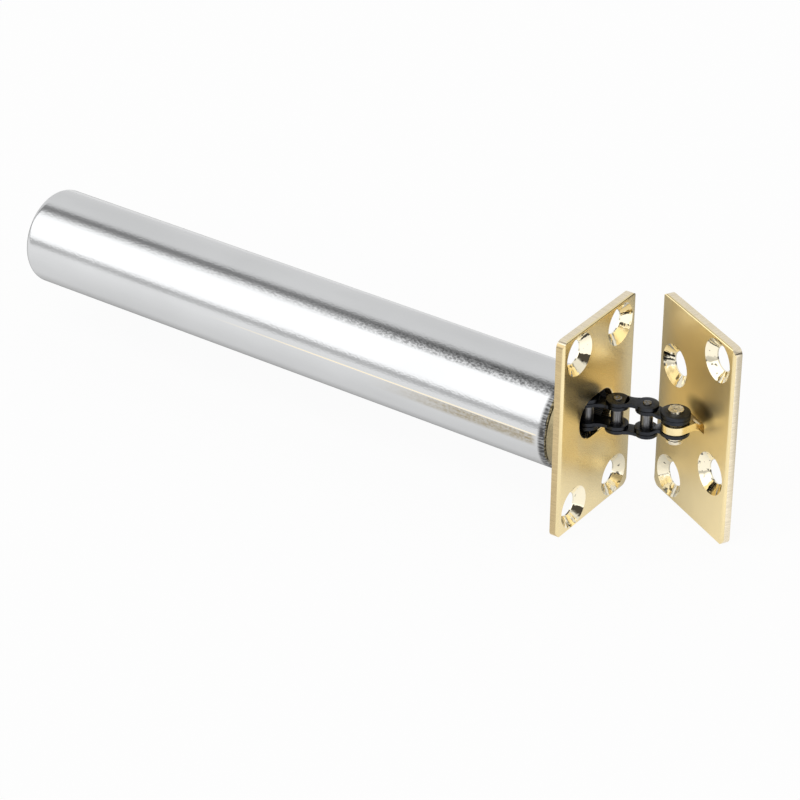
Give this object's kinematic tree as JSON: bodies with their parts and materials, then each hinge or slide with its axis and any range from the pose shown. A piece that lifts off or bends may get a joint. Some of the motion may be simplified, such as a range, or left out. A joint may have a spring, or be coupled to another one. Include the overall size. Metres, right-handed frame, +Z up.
{
  "type": "concealed door closer",
  "caption": "Concealed spring door closer: a steel tube with a brass face plate, and an anchor plate on a short black chain.",
  "frame": {"origin": "centre of the face plate's front face", "axes": "+X out of the door along the tube, +Z up along the plate's height, +Y to the side that the chain curves to"},
  "size_m": [0.2271, 0.0415, 0.0598],
  "materials": {
    "zinc_steel": "bright zinc plate over drawn steel",
    "plain_steel": "plain machined steel",
    "spring_steel": "oiled spring wire",
    "black_steel": "black oxide",
    "pin_steel": "dull riveted steel",
    "bright_steel": "peened bright steel",
    "brass_plate": "satin brass plate",
    "nylon": "black nylon",
    "rubber": "black rubber"
  },
  "bodies": {
    "housing": {"tube": "zinc_steel", "rear_buffer": "rubber", "front_collar": "brass_plate", "chain_guide": "nylon", "face_plate": "brass_plate", "front_spring_seat": "plain_steel", "main_spring": "spring_steel"},
    "draw_gear": {"draw_rod": "plain_steel", "rod_stop_nut": "plain_steel", "lock_nut": "plain_steel", "chain_yoke": "black_steel", "yoke_pin": "pin_steel"},
    "plunger": {"plunger": "plain_steel", "plunger_ring": "nylon", "rear_spring_seat": "plain_steel"},
    "link_a": {"link_a_upper_plate": "black_steel", "link_a_lower_plate": "black_steel", "link_a_bushes": "black_steel"},
    "link_b": {"link_b_upper_plate": "black_steel", "link_b_lower_plate": "black_steel", "link_b_pins": "pin_steel"},
    "link_c": {"link_c_upper_plate": "black_steel", "link_c_lower_plate": "black_steel", "link_c_bush": "black_steel", "end_washer": "black_steel", "tongue_spacer": "plain_steel", "end_pin": "bright_steel"},
    "anchor": {"tongue": "brass_plate", "anchor_plate": "brass_plate"}
  },
  "joints": [
    {"name": "chain_pull", "type": "slide", "parent": "housing", "child": "draw_gear", "axis": [1, 0, 0], "range_m": [0, 0.05], "stiffness_N_per_m": 950, "springref_m": -0.005, "deforming": ["main_spring"]},
    {"name": "tension_adjust", "type": "slide", "parent": "draw_gear", "child": "plunger", "axis": [1, 0, 0], "range_m": [0, 0.022], "deforming": ["main_spring"]},
    {"name": "link_a_hinge", "type": "hinge", "parent": "draw_gear", "child": "link_a", "pos_m": [-0.003, 0, 0.0008], "axis": [0, 0, 1], "range_deg": [-63, 20]},
    {"name": "link_b_hinge", "type": "hinge", "parent": "link_a", "child": "link_b", "pos_m": [0.00444, 0.00293, 0.0008], "axis": [0, 0, -1], "range_deg": [-46, 42]},
    {"name": "link_c_hinge", "type": "hinge", "parent": "link_b", "child": "link_c", "pos_m": [0.01201, 0.00554, 0.0008], "axis": [0, 0, 1], "range_deg": [-40, 18]},
    {"name": "anchor_hinge", "type": "hinge", "parent": "link_c", "child": "anchor", "pos_m": [0.01987, 0.00702, 0.0008], "axis": [0, 0, -1], "range_deg": [-24, 115]}
  ]
}
